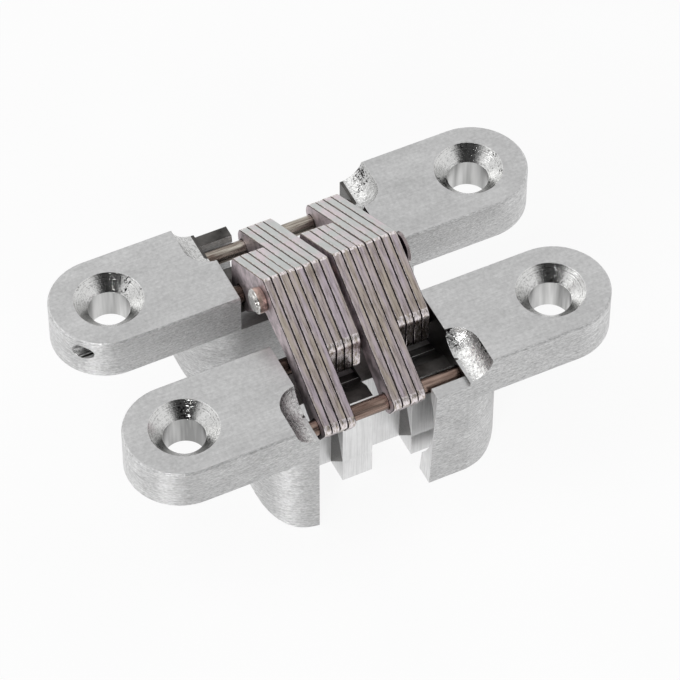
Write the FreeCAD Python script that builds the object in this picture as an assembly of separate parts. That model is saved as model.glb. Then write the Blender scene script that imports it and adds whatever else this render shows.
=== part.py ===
"""Concealed cross hinge, shown fully open, built as its separate pieces.

Frame: millimetres, X along the two castings, Y from the near casting to the far one, Z up.
The middle of the gap between the castings is Y = 0. The pieces are drawn with the mounting
faces in Z = 0, and are lifted at the end so that the castings stand on Z = 0.
The far casting and the B links are the near casting and the A links turned half round about Z.
"""
import math
import os

import FreeCAD
import Part

os.makedirs("parts", exist_ok=True)

V = FreeCAD.Vector
X_AXIS = V(1, 0, 0)
Z_AXIS = V(0, 0, 1)

# The casting: a round-ended mounting plate over a round-ended body
PLATE_LENGTH = 70.0
PLATE_WIDTH = 15.2
PLATE_THICKNESS = 6.4
PLATE_EDGE_BEVEL = 0.25
PLATE_CENTRE_Y = 12.05
BODY_LENGTH = 35.6
BODY_DEPTH = 21.0
BODY_LOWER_RADIUS = 5.0

# Mounting holes
HOLE_SPACING = 53.6
BORE_RADIUS = 2.85
COUNTERSINK_RADIUS = 4.75

# Window and lanes
WINDOW_HALF_WIDTH = 11.0
CROSS_WALL_Y = 10.6
PILLAR_FRONT_Y = 14.2
PILLAR_WIDTH = 4.4
PILLAR_TOP = -5.2
LANE_CLEARANCE = 0.15
FRONT_WALL_FOOT_THICKNESS = 2.85
FRONT_WALL_TOP_THICKNESS = 1.8
FRONT_WALL_TOP = -3.4
FRONT_WALL_SIDE_DRAFT = 0.9

# Scallops that let the closed rivet heads in
SCALLOP_RADIUS = 3.4
SCALLOP_AXIS_Z = 0.6
SCALLOP_END_Y = 15.4

# Link plates
LINK_PLATE_THICKNESS = 1.15
LINK_PLATE_PITCH = 1.165
PLATES_PER_LANE = 4
CENTRE_GAP = 0.9
RIDGE_Z = 7.9
RIDGE_SLOPE = math.radians(30.6)
LONG_END_REACH = 1.7
LONG_END_DEPTH = 2.2
LONG_END_CORNER = 1.2
LONG_TOE_CORNER = 1.6
SHORT_END_REACH = 3.1
SHORT_END_DEPTH = 2.4
SHORT_END_CORNER = 1.0
SHORT_HEEL_Y = 5.6
SHORT_HEEL_CORNER = 1.2
SHORT_TOE_CORNER = 1.8
NECK_POINT = (-0.6, 2.0)
PIN_RELIEF_POINT = (-7.0, -0.3)

# Pivot axes, with the link set open
PIVOT_Y = 7.0
PIVOT_Z = -2.15
CENTRE_Z = 4.2
ROD_Y = 16.2
ROD_Z = -4.65
CLOSED_HALF_GAP = 1.15

# Round parts
PIN_RADIUS = 1.2
PIN_END_X = 13.0
PIN_BORE_END_X = 13.2
ROD_RADIUS = 1.1
ROD_END_X = 11.65
GROOVE_END_X = 11.8
GROOVE_CLEARANCE = 0.2
RIVET_RADIUS = 1.0
RIVET_HEAD_RADIUS = 1.9
RIVET_HEAD_THICKNESS = 0.85
RIVET_HEAD_STEP_RADIUS = 1.35
RIVET_HEAD_STEP = 0.25
RIVET_NECK_RADIUS = 1.45
RIVET_NECK_LENGTH = 0.5
WASHER_RADIUS = 1.9
WASHER_THICKNESS = 0.4
RIVET_TAIL_RADIUS = 1.5
RIVET_TAIL_THICKNESS = 0.45
RUNNING_CLEARANCE = 0.05
FACE_GAP = 0.02

# Sweep of a short link end in its seat
SEAT_RADIUS = 5.3
SEAT_CLEARANCE = 0.3

# How far a cut runs past the surface it opens, and how near two heights count as one
CUT_MARGIN = 1.0
SAME_PLACE = 1e-6

HALF_WIDTH = PLATE_WIDTH / 2
FRONT_Y = -(PLATE_CENTRE_Y + HALF_WIDTH)
INNER_Y = -(PLATE_CENTRE_Y - HALF_WIDTH)
LANE_WIDTH = (PLATES_PER_LANE - 1) * LINK_PLATE_PITCH + LINK_PLATE_THICKNESS
LANE_STARTS = {
    "a1": -CENTRE_GAP / 2 - 2 * PLATES_PER_LANE * LINK_PLATE_PITCH,
    "b1": -CENTRE_GAP / 2 - PLATES_PER_LANE * LINK_PLATE_PITCH,
    "a2": CENTRE_GAP / 2 + LINK_PLATE_PITCH - LINK_PLATE_THICKNESS,
    "b2": CENTRE_GAP / 2 + (PLATES_PER_LANE + 1) * LINK_PLATE_PITCH - LINK_PLATE_THICKNESS,
}
PACK_HALF_WIDTH = -LANE_STARTS["a1"]

# Closing geometry: the B links turn about the near pin, the A links about the centre rivet
ARM = math.hypot(PIVOT_Y, CENTRE_Z - PIVOT_Z)
ARM_START = math.atan2(CENTRE_Z - PIVOT_Z, PIVOT_Y)
PIVOT_TURN = math.pi - math.asin((CLOSED_HALF_GAP - PIVOT_Z) / ARM) - ARM_START
LONG_TURN = math.pi - PIVOT_TURN
LONG_ARM = math.hypot(ROD_Y, ROD_Z - CENTRE_Z)
LONG_START = math.atan2(ROD_Z - CENTRE_Z, -ROD_Y)


def half_turn(shape):
    """Copy a shape turned half round about the vertical axis."""
    turned = shape.copy()
    turned.rotate(V(0, 0, 0), Z_AXIS, 180)
    return turned


def box(x0, x1, y0, y1, z0, z1):
    return Part.makeBox(x1 - x0, y1 - y0, z1 - z0, V(x0, y0, z0))


def rod_along_x(radius, x0, x1, y, z):
    return Part.makeCylinder(radius, x1 - x0, V(x0, y, z), X_AXIS)


def prism_along_x(edges, x0, x1):
    """Extrude a closed outline drawn in the plane X = 0."""
    face = Part.Face(Part.Wire(edges))
    face.translate(V(x0, 0, 0))
    return face.extrude(V(x1 - x0, 0, 0))


def polygon_edges(points):
    corners = [V(0, y, z) for y, z in points]
    return [Part.makeLine(a, b) for a, b in zip(corners, corners[1:] + corners[:1])]


def round_ended_plate(length, z0, z1):
    """A plate with half-round ends, on the near casting's centre line."""
    reach = length / 2 - HALF_WIDTH
    y = -PLATE_CENTRE_Y
    points = [V(-reach, y - HALF_WIDTH, z0), V(reach, y - HALF_WIDTH, z0),
              V(reach, y + HALF_WIDTH, z0), V(-reach, y + HALF_WIDTH, z0)]
    edges = [
        Part.makeLine(points[0], points[1]),
        Part.Arc(points[1], V(reach + HALF_WIDTH, y, z0), points[2]).toShape(),
        Part.makeLine(points[2], points[3]),
        Part.Arc(points[3], V(-reach - HALF_WIDTH, y, z0), points[0]).toShape(),
    ]
    return Part.Face(Part.Wire(edges)).extrude(V(0, 0, z1 - z0))


def rod_centre(turn):
    """Where the near rod stands once the B links have turned this far."""
    centre_y = -PIVOT_Y + ARM * math.cos(ARM_START + turn)
    centre_z = PIVOT_Z + ARM * math.sin(ARM_START + turn)
    angle = LONG_START + turn * LONG_TURN / PIVOT_TURN
    return centre_y + LONG_ARM * math.cos(angle), centre_z + LONG_ARM * math.sin(angle)


def rod_track(radius, x0, x1):
    """The curved slot that the near rod runs in between open and closed, widened to a radius."""
    opened, halfway, closed = [V(0, *rod_centre(turn)) for turn in (0, PIVOT_TURN / 2, PIVOT_TURN)]
    centre = Part.Arc(opened, halfway, closed).toShape().Curve.Center
    inner = []
    outer = []
    ends = []
    for point in (opened, halfway, closed):
        outward = (point - centre).normalize()
        inner.append(point - outward * radius)
        outer.append(point + outward * radius)
        tangent = X_AXIS.cross(outward)
        if tangent.dot(halfway - point) > 0:
            tangent = -tangent
        ends.append(point + tangent * radius)
    edges = [
        Part.Arc(outer[0], outer[1], outer[2]).toShape(),
        Part.Arc(outer[2], ends[2], inner[2]).toShape(),
        Part.Arc(inner[2], inner[1], inner[0]).toShape(),
        Part.Arc(inner[0], ends[0], outer[0]).toShape(),
    ]
    return prism_along_x(edges, x0, x1)


def rounded_corner(before, corner, after, radius):
    """Tangent points and middle point of the arc that rounds one corner."""
    into = (before - corner).normalize()
    out = (after - corner).normalize()
    half_angle = math.acos(max(-1.0, min(1.0, into.dot(out)))) / 2
    reach = radius / math.tan(half_angle)
    centre = corner + (into + out).normalize() * (radius / math.sin(half_angle))
    middle = centre + (corner - centre).normalize() * radius
    return corner + into * reach, middle, corner + out * reach


def link_outline():
    """Outline of an A link plate: long leg to the near casting, short leg to the far one."""
    cos_slope = math.cos(RIDGE_SLOPE)
    sin_slope = math.sin(RIDGE_SLOPE)
    ridge = V(0, 0, RIDGE_Z)
    along = V(0, -cos_slope, -sin_slope)
    down = V(0, sin_slope, -cos_slope)
    rod = V(0, -ROD_Y, ROD_Z)
    depth = (rod - ridge).dot(down) + LONG_END_DEPTH
    reach = (rod - ridge).dot(along)
    long_top = ridge + along * (reach + LONG_END_REACH)
    long_bottom = long_top + down * depth
    relief_start = ridge + along * reach + down * depth
    end_y = PIVOT_Y + SHORT_END_REACH
    end_z = PIVOT_Z - SHORT_END_DEPTH
    short_top = V(0, end_y, RIDGE_Z - end_y * math.tan(RIDGE_SLOPE))

    # corners in order, each with the radius that rounds it
    corners = [
        (ridge, 0),
        (short_top, SHORT_END_CORNER),
        (V(0, end_y, end_z), SHORT_TOE_CORNER),
        (V(0, SHORT_HEEL_Y, end_z), SHORT_HEEL_CORNER),
        (V(0, *NECK_POINT), 0),
        (V(0, *PIN_RELIEF_POINT), 0),
        (relief_start, 0),
        (long_bottom, LONG_TOE_CORNER),
        (long_top, LONG_END_CORNER),
    ]
    edges = []
    last = ridge
    for index in range(1, len(corners)):
        point, radius = corners[index]
        following = corners[(index + 1) % len(corners)][0]
        if radius:
            begin, middle, end = rounded_corner(corners[index - 1][0], point, following, radius)
            edges.append(Part.makeLine(last, begin))
            edges.append(Part.Arc(begin, middle, end).toShape())
            last = end
        else:
            edges.append(Part.makeLine(last, point))
            last = point
    edges.append(Part.makeLine(last, ridge))
    return edges


def link_plate(lane, index):
    """One steel plate of a lane, with its three holes."""
    x0 = LANE_STARTS[lane] + index * LINK_PLATE_PITCH
    x1 = x0 + LINK_PLATE_THICKNESS
    turned = lane.startswith("b")
    if turned:
        x0, x1 = -x1, -x0
    plate = prism_along_x(link_outline(), x0, x1)
    # the link set that carries a rod or rivet holds it tight, the other one turns on it
    rivet_hole = RIVET_RADIUS if turned else RIVET_RADIUS + RUNNING_CLEARANCE
    holes = [
        rod_along_x(rivet_hole, x0 - CUT_MARGIN, x1 + CUT_MARGIN, 0, CENTRE_Z),
        rod_along_x(PIN_RADIUS + RUNNING_CLEARANCE, x0 - CUT_MARGIN, x1 + CUT_MARGIN, PIVOT_Y, PIVOT_Z),
        rod_along_x(ROD_RADIUS, x0 - CUT_MARGIN, x1 + CUT_MARGIN, -ROD_Y, ROD_Z),
    ]
    plate = plate.cut(holes)
    return half_turn(plate) if turned else plate


def closed_seat(x0, x1):
    """Room in the near casting for a B lane's short end as it turns on the near pin."""
    pivot = V(0, -PIVOT_Y, PIVOT_Z)
    quarter = Part.makeCylinder(SEAT_RADIUS, x1 - x0, V(x0, -PIVOT_Y, PIVOT_Z), X_AXIS)
    quarter = quarter.common(box(x0, x1, FRONT_Y, -PIVOT_Y, -BODY_DEPTH, CUT_MARGIN))
    outward_angle = math.pi / 2 + RIDGE_SLOPE + PIVOT_TURN
    outward = V(0, math.cos(outward_angle), math.sin(outward_angle))
    turn = FreeCAD.Rotation(X_AXIS, math.degrees(PIVOT_TURN))
    end_y = PIVOT_Y + SHORT_END_REACH
    corners = []
    for y, z in ((0, RIDGE_Z), (-end_y, RIDGE_Z - end_y * math.tan(RIDGE_SLOPE))):
        corners.append(pivot + turn.multVec(V(0, y, z) - pivot) + outward * SEAT_CLEARANCE)
    outline = [
        (corners[0].y, corners[0].z),
        (corners[1].y, corners[1].z),
        (-PIVOT_Y, PIVOT_Z),
        (-PIVOT_Y, CUT_MARGIN),
        (corners[0].y, CUT_MARGIN),
    ]
    return quarter.fuse(prism_along_x(polygon_edges(outline), x0, x1))


def scallop(side):
    """A channel along one side of the window, open at the front edge, with a round inner end."""
    x = side * WINDOW_HALF_WIDTH
    end = V(x, -SCALLOP_END_Y, SCALLOP_AXIS_Z)
    length = -FRONT_Y - SCALLOP_END_Y + CUT_MARGIN
    channel = Part.makeCylinder(SCALLOP_RADIUS, length, end, V(0, -1, 0))
    return channel.fuse(Part.makeSphere(SCALLOP_RADIUS, end))


def front_wall(x0, x1):
    """The wall before the near rod: thinner at its top, and drawn in on the side by the lanes."""
    profile = [
        (FRONT_Y, -BODY_DEPTH),
        (FRONT_Y, FRONT_WALL_TOP),
        (FRONT_Y + FRONT_WALL_TOP_THICKNESS, FRONT_WALL_TOP),
        (FRONT_Y + FRONT_WALL_FOOT_THICKNESS, -BODY_DEPTH),
    ]
    wall = prism_along_x(polygon_edges(profile), x0, x1)
    side = [
        V(x0, 0, -BODY_DEPTH),
        V(x0 + FRONT_WALL_SIDE_DRAFT, 0, FRONT_WALL_TOP),
        V(x1 + CUT_MARGIN, 0, FRONT_WALL_TOP),
        V(x1 + CUT_MARGIN, 0, -BODY_DEPTH),
    ]
    face = Part.Face(Part.makePolygon(side + side[:1]))
    return wall.common(face.extrude(V(0, FRONT_Y - CUT_MARGIN, 0)))


def near_casting():
    """The near casting, with its holes, window, lanes, seats and grooves."""
    plate = round_ended_plate(PLATE_LENGTH, -PLATE_THICKNESS, 0)
    upper_rim = [edge for edge in plate.Edges if edge.BoundBox.ZMin > -SAME_PLACE]
    plate = plate.makeChamfer(PLATE_EDGE_BEVEL, upper_rim)

    body = round_ended_plate(BODY_LENGTH, -BODY_DEPTH, -PLATE_THICKNESS)
    half = BODY_LENGTH / 2
    profile = box(-half, half, FRONT_Y - CUT_MARGIN, INNER_Y + CUT_MARGIN, -BODY_DEPTH, 0)
    lower = []
    for edge in profile.Edges:
        middle = edge.CenterOfMass
        if abs(middle.z + BODY_DEPTH) < SAME_PLACE and abs(abs(middle.x) - half) < SAME_PLACE:
            lower.append(edge)
    body = body.common(profile.makeFillet(BODY_LOWER_RADIUS, lower))
    casting = plate.fuse(body)

    w = WINDOW_HALF_WIDTH
    front = FRONT_Y - CUT_MARGIN
    casting = casting.cut(box(-w, w, front, INNER_Y + CUT_MARGIN, -PLATE_THICKNESS, CUT_MARGIN))
    casting = casting.cut(box(-w, w, front, -CROSS_WALL_Y, -BODY_DEPTH - CUT_MARGIN, 0))

    pillar_x0 = LANE_STARTS["b1"] + LANE_CLEARANCE - LINK_PLATE_PITCH + LINK_PLATE_THICKNESS
    root_y = -CROSS_WALL_Y + CUT_MARGIN
    pillar = box(pillar_x0, pillar_x0 + PILLAR_WIDTH, -PILLAR_FRONT_Y, root_y, -BODY_DEPTH, PILLAR_TOP)
    block_x0 = LANE_STARTS["b2"] + LANE_CLEARANCE
    block = box(block_x0, w, -PILLAR_FRONT_Y, root_y, -BODY_DEPTH, PILLAR_TOP)
    casting = casting.fuse([pillar, block, front_wall(block_x0, w)])

    b1_end = LANE_STARTS["b1"] + LANE_WIDTH
    casting = casting.cut(closed_seat(LANE_STARTS["b1"] - LANE_CLEARANCE, b1_end + LANE_CLEARANCE))
    casting = casting.cut(closed_seat(LANE_STARTS["b2"] - LANE_CLEARANCE, w))
    casting = casting.cut(rod_track(ROD_RADIUS + GROOVE_CLEARANCE, -GROOVE_END_X, GROOVE_END_X))
    casting = casting.cut([scallop(-1), scallop(1)])
    casting = casting.cut(rod_along_x(PIN_RADIUS, -PIN_BORE_END_X, PLATE_LENGTH, -PIVOT_Y, PIVOT_Z))

    cone_depth = COUNTERSINK_RADIUS - BORE_RADIUS
    for side in (-1, 1):
        centre = V(side * HOLE_SPACING / 2, -PLATE_CENTRE_Y, -PLATE_THICKNESS - CUT_MARGIN)
        bore = Part.makeCylinder(BORE_RADIUS, PLATE_THICKNESS + 2 * CUT_MARGIN, centre, Z_AXIS)
        casting = casting.cut(bore)
        centre.z = -cone_depth
        mouth = COUNTERSINK_RADIUS + CUT_MARGIN
        cone = Part.makeCone(BORE_RADIUS, mouth, cone_depth + CUT_MARGIN, centre, Z_AXIS)
        casting = casting.cut(cone)
    return casting.removeSplitter()


def centre_rivet():
    """The rivet through all sixteen plates, with its neck and stepped head at the left."""
    shank_end = PACK_HALF_WIDTH + FACE_GAP + WASHER_THICKNESS
    neck_x = -PACK_HALF_WIDTH - RIVET_NECK_LENGTH
    head_x = neck_x - RIVET_HEAD_THICKNESS
    parts = [
        rod_along_x(RIVET_NECK_RADIUS, neck_x, -PACK_HALF_WIDTH - FACE_GAP, 0, CENTRE_Z),
        rod_along_x(RIVET_HEAD_RADIUS, head_x, neck_x, 0, CENTRE_Z),
        rod_along_x(RIVET_HEAD_STEP_RADIUS, head_x - RIVET_HEAD_STEP, head_x, 0, CENTRE_Z),
        rod_along_x(RIVET_TAIL_RADIUS, shank_end, shank_end + RIVET_TAIL_THICKNESS, 0, CENTRE_Z),
    ]
    shank = rod_along_x(RIVET_RADIUS, neck_x, shank_end + RIVET_TAIL_THICKNESS, 0, CENTRE_Z)
    return shank.fuse(parts).removeSplitter()


def rivet_washer():
    x0 = PACK_HALF_WIDTH + FACE_GAP
    disc = rod_along_x(WASHER_RADIUS, x0, x0 + WASHER_THICKNESS, 0, CENTRE_Z)
    x1 = x0 + WASHER_THICKNESS
    return disc.cut(rod_along_x(RIVET_RADIUS, x0 - CUT_MARGIN, x1 + CUT_MARGIN, 0, CENTRE_Z))


near_body = near_casting()
near_pin = rod_along_x(PIN_RADIUS, -PIN_END_X, PIN_END_X, -PIVOT_Y, PIVOT_Z)
near_rod = rod_along_x(ROD_RADIUS, -ROD_END_X, ROD_END_X, -ROD_Y, ROD_Z)

nodes = {
    "near_body": near_body,
    "far_body": half_turn(near_body),
    "near_pin": near_pin,
    "far_pin": half_turn(near_pin),
    "near_rod": near_rod,
    "far_rod": half_turn(near_rod),
    "centre_rivet": centre_rivet(),
    "rivet_washer": rivet_washer(),
}
for lane in LANE_STARTS:
    for number in range(PLATES_PER_LANE):
        nodes["link_%s_plate_%d" % (lane, number + 1)] = link_plate(lane, number)

for name, shape in nodes.items():
    shape.translate(V(0, 0, BODY_DEPTH))
    shape.exportStep("parts/%s.step" % name)
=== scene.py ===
"""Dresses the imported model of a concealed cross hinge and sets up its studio.

The two castings, the sixteen link plates, the rods and pins, and the rivet with its washer are
each made by an operator, and one more makes the floor, the lamps and the camera.
Sizes are in millimetres in the settings, and the scene itself is in metres.
"""
import math
import random

import bmesh
import bpy
from mathutils import Matrix, Vector


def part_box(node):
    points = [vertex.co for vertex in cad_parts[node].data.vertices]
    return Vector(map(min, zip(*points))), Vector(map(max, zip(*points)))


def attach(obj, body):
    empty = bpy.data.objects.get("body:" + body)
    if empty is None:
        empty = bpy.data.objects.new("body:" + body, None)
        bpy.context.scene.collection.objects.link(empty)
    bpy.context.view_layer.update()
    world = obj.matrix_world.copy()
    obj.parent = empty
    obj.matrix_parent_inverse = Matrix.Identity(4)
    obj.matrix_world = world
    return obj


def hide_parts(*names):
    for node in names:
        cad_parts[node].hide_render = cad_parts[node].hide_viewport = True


bl_info = {
    "name": "Concealed hinge dressing",
    "version": (1, 0, 0),
    "blender": (4, 5, 0),
    "location": "View3D > Sidebar > Hinge",
    "description": "Detailed pieces, finishes and studio for a concealed cross hinge",
    "category": "Object",
}

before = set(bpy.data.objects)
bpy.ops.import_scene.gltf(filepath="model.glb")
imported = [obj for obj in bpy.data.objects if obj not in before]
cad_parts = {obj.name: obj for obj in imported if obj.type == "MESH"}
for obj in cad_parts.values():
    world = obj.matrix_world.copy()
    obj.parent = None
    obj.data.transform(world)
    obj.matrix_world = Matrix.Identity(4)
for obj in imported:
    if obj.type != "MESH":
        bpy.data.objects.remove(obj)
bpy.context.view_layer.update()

MM = 0.001
IMAGE_SIDE = 680
SENSOR_WIDTH = 36.0

# Sizes of the stage, in metres: the paper's side, how far it lies under the castings, and where the
# camera's view starts
FLOOR_SIDE = 4.0
FLOOR_GAP = 0.0002
NEAREST_SEEN = 0.01

LANES = ("a1", "b1", "a2", "b2")
PLATES_PER_LANE = 4

# Points closer than this are one point, in mm
WELD = 0.001
# Room between the rivet and what it passes through, in mm
RIVET_ROOM = 0.02
# A facet faces a direction when this share of its normal or more lies along it
FACING = 0.9

# The finishes of a casting, in the order of its materials, some of them copies of the plating with painted
# light or painted shade
LINISHED, BRUSHED, TURNED, AS_CAST, DIE_DRAWN, MILLED, DRILLED = range(7)
# The finishes of a link plate, in the order of its materials, with painted shade, highlights and sheen among
# them
PLAIN, SHADED_JOINT, GLINT, LIT_SLOPE, SHEET, LIT_JOINT = range(6)


def srgb(code):
    """Linear colour of an sRGB hex code such as #BEBEBE."""
    channels = []
    for start in (1, 3, 5):
        value = int(code[start:start + 2], 16) / 255
        if value <= 0.04045:
            channels.append(value / 12.92)
        else:
            channels.append(((value + 0.055) / 1.055) ** 2.4)
    return tuple(channels)


def millimetres(name, default, description, lowest=0.0):
    return bpy.props.FloatProperty(name=name, default=default, min=lowest, description=description)


def angle(name, degrees, description):
    return bpy.props.FloatProperty(
        name=name, default=math.radians(degrees), subtype="ANGLE", description=description)


def amount(name, default, description):
    return bpy.props.FloatProperty(name=name, default=default, min=0, description=description)


def place(name, default, description):
    """A place in metres, because the scene is in metres."""
    return bpy.props.FloatVectorProperty(
        name=name, default=default, size=3, subtype="TRANSLATION", description=description)


def colour(name, code, description):
    return bpy.props.FloatVectorProperty(
        name=name, default=srgb(code), size=3, min=0, max=1, subtype="COLOR", description=description)


# Settings that a user would change


class HingeCastingSettings(bpy.types.PropertyGroup):
    face_height: millimetres("Face height", 21.0, "Height of the mounting faces above the floor, in mm")
    hole_x: millimetres("Hole distance", 26.8, "From the middle of a plate to a screw hole, in mm")
    hole_y: millimetres("Hole row", 12.05, "From the middle of the hinge to a row of screw holes, in mm")
    bore_radius: millimetres("Bore radius", 2.85, "Radius of a screw hole, in mm")
    countersink_radius: millimetres("Countersink radius", 4.75, "Radius of a countersink's mouth, in mm")
    window_x: millimetres("Window half width", 11.0, "Half the width of the link window, in mm")
    scallop_radius: millimetres("Scallop radius", 3.4, "Radius of the relief for the rivet head, in mm")
    plate_thickness: millimetres("Plate thickness", 6.4, "Thickness of the mounting plate, in mm")
    wall_face: millimetres("Wall face", 19.0, "From the middle to where the outer faces start, in mm")
    pillar_side: millimetres("Pillar side", 12.0, "From the middle to a pillar's pale side, in mm")
    wall_back: millimetres("Wall back", 16.75, "From the middle of the hinge to a wall by a rod, in mm")
    wall_side_x: millimetres("Wall side", 6.4, "How far out a wall's drafted side reaches, in mm")
    zinc: colour("Zinc", "#C6C6C6", "Satin plating over linished zinc alloy")
    # painted light: the upright sides get a paler copy of the plating than the tops, to make up for the dark
    # reflections they take in
    sides: colour("Zinc sides", "#DDDDDD", "Satin plating over brushed upright sides")
    # painted light: the upright faces inside the window, where shade falls, get the palest copy of the
    # plating
    flanks: colour("Zinc flanks", "#EDEDED", "Plating on the upright faces inside the window")
    bright: colour("Bright zinc", "#D9D9D8", "Plating in the turned countersinks and the reliefs")
    dirt: colour("Dirt", "#181416", "Black specks in the turned surfaces")
    # painted shade: the walls inside the link window get a dark copy of the plating, as shade in the window
    shadowed: colour("Window walls", "#5C5A58", "Plating inside the link window, dull with oil")


class HingeLinkSettings(bpy.types.PropertyGroup):
    ridge_z: millimetres("Ridge height", 7.9, "Height of the ridge over the mounting face, in mm")
    ridge_slope: angle("Ridge slope", 30.6, "Fall of the two upper edges from the ridge")
    pivot_y: millimetres("Pivot Y", 7.0, "From the middle to a fixed pin, in mm")
    pivot_z: millimetres("Pivot Z", -2.15, "Height of a fixed pin over the mounting face, in mm", -20)
    centre_z: millimetres("Rivet Z", 4.2, "Height of the centre rivet over the mounting face, in mm")
    rod_y: millimetres("Rod Y", 16.2, "From the middle to a sliding rod, in mm")
    rod_z: millimetres("Rod Z", -4.65, "Height of a sliding rod over the mounting face, in mm", -20)
    rod_hole: millimetres("Rod hole radius", 1.12, "Radius of the hole for the rod, in mm")
    pin_hole: millimetres("Pin hole radius", 1.25, "Radius of the hole for the pin, in mm")
    rivet_hole: millimetres("Rivet hole radius", 1.05, "Radius of the hole for the rivet, in mm")
    long_end: millimetres("Long end", 1.7, "From a rod's centre to the end of a long leg, in mm")
    leg_depth: millimetres("Leg depth", 2.2, "From a rod's centre to a long leg's lower edge, in mm")
    short_end: millimetres("Short end", 3.1, "From a pin's centre to the end of a short leg, in mm")
    short_depth: millimetres("Short depth", 2.4, "From a pin's centre down to a short leg's foot, in mm")
    edge_radius: millimetres("Edge radius", 0.13, "Rounding that tumbling leaves on a stamped edge, in mm")
    unevenness: millimetres("Unevenness", 0.08, "How far stamped plates differ from each other, in mm")
    steel: colour("Plated steel", "#BBB0A4", "Nickel-tinted zinc plating on stamped steel")
    streak: colour("Streaks", "#8D827A", "Drag lines from the stamping tool")
    blush: colour("Blush", "#C2B6BE", "Faint pink of thin plating")
    # painted shade: the dark line that shade draws in the joints between the plates
    joint_shade: colour("Old oil", "#150F13", "Oil that darkens the joints between plates")
    # painted highlight: the bright lines and glints on the plates' edges, bends and end faces
    rubbed: colour("Rubbed edges", "#ECE4E6", "Where handling has burnished the stamped edges")
    # painted sheen: the back slope, which faces the light, gets a paler copy of the plating
    pale: colour("Pale steel", "#C0C3C1", "Plating on the back slope of the pack")
    # pink is paler than the plating: on the back slope it is part of the painted sheen, and on the flat
    # faces it is their own tone
    pink: colour("Pink steel", "#CFC3C7", "Pink patches of the back slope, and the flat faces")
    end_corner: millimetres("End corner", 1.2, "Rounding of the upper corner of a long leg's end, in mm")
    far_corner: millimetres("Far end corner", 2.0, "The same on the links whose long leg is at the far side")
    middle_fill: millimetres("Middle plates", 0.13, "How far the two middle plates fill the gap, in mm")


class HingeRoundSettings(bpy.types.PropertyGroup):
    pin_radius: millimetres("Pin radius", 1.2, "Radius of a fixed pin, in mm")
    rod_radius: millimetres("Rod radius", 1.1, "Radius of a sliding rod, in mm")
    end_chamfer: millimetres("End rounding", 0.2, "Rounding of the cropped ends, in mm")
    bronze: colour("Bronzed steel", "#5E4C44", "Oiled, bronze-coloured drawn steel")
    bronze_light: colour("Rubbed bronze", "#A08B80", "Where the links have rubbed the rod")
    bare: colour("Bare rod", "#C4BFB4", "Drawn steel of the far rod where the bronze has worn off")


class HingeRivetSettings(bpy.types.PropertyGroup):
    shank_radius: millimetres("Shank radius", 1.0, "Radius of the rivet, in mm")
    head_radius: millimetres("Head radius", 1.8, "Radius of the rivet head, in mm")
    head_thickness: millimetres("Head thickness", 0.85, "Thickness of the rivet head, in mm")
    step_radius: millimetres("Step radius", 1.35, "Radius of the raised step on the head, in mm")
    step_height: millimetres("Step height", 0.25, "Height of the raised step on the head, in mm")
    neck_radius: millimetres("Neck radius", 1.74, "Radius of the neck under the head, in mm")
    neck_length: millimetres("Neck length", 0.5, "Length of the neck under the head, in mm")
    rounding: millimetres("Rounding", 0.3, "Rounding of the head's edges, in mm")
    washer_radius: millimetres("Washer radius", 2.25, "Radius of the washer, in mm")
    washer_cup: millimetres("Washer cup", 0.8, "How far the washer's rim stands off the plates, in mm")
    washer_thickness: millimetres("Washer thickness", 0.4, "Thickness of the washer, in mm")
    washer_flare: millimetres("Washer flare", 0.3, "How far the rim's inner edge is turned out, in mm")
    washer_edge: millimetres("Washer edge", 0.1, "Bevel of the rim's outer edge, in mm")
    tail_radius: millimetres("Tail radius", 1.5, "Radius of the peened tail, in mm")
    steel: colour("Bright steel", "#CFCDCA", "Polished steel of the rivet head")
    tint: colour("Rivet side", "#CDB3A8", "Pink-brown tint round the side of the head")


class HingeStudioSettings(bpy.types.PropertyGroup):
    azimuth: angle("Azimuth", -25.842, "Camera direction")
    elevation: angle("Elevation", 49.749, "Camera height angle")
    distance: millimetres("Distance", 557.3, "From the camera to the middle of the hinge, in mm")
    focal_pixels: amount("Focal length", 4194.1, "Focal length in pixels of the square image")
    shift_x_pixels: bpy.props.FloatProperty(
        name="Shift right", default=10.117, description="Sideways shift of the lens, in pixels")
    shift_y_pixels: bpy.props.FloatProperty(
        name="Shift up", default=-45.575, description="Upward shift of the lens, in pixels")
    floor: colour("Floor", "#F4F4F4", "Pale paper under the hinge")
    floor_glow: amount("Floor whiteness", 1.12, "Brightness of the paper where it is seen")
    floor_share: bpy.props.FloatProperty(
        name="Shadow softness", default=0.9, min=0, max=1, subtype="FACTOR",
        description="How much of the paper's own whiteness covers its shadow")
    backdrop: colour("Backdrop", "#FDFDFD", "Colour of the surroundings")
    surround: amount("Surroundings", 0.95, "Brightness of the surroundings where seen")
    lamp_level: amount("Soft light", 0.55, "Brightness of the surroundings as a lamp")
    dark_level: amount("Camera side", 0.05, "Brightness of the side where the camera stands")
    dark_rise: angle("Dark height", 28, "Height angle of the dark side's middle, under the camera")
    dark_core: angle("Dark core", 28, "Half angle of the dark core")
    dark_reach: angle("Dark reach", 50, "Half angle at which the dark side has faded out")
    key_power: amount("Key power", 1.1, "Power of the large lamp behind the hinge, in W")
    key_width: amount("Key width", 0.5, "Width of the large lamp, in m")
    key_place: place("Key place", (-0.35, 0.25, 0.6), "Where the large lamp stands")
    fill_power: amount("Fill power", 1.2, "Power of the small lamp before the hinge, in W")
    fill_width: amount("Fill width", 0.14, "Width of the small lamp, in m")
    fill_place: place("Fill place", (-0.4, -0.4, 0.2), "Where the small lamp stands")


SETTINGS = {
    "hinge_casting": HingeCastingSettings,
    "hinge_link": HingeLinkSettings,
    "hinge_round": HingeRoundSettings,
    "hinge_rivet": HingeRivetSettings,
    "hinge_studio": HingeStudioSettings,
}


# Materials


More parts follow.
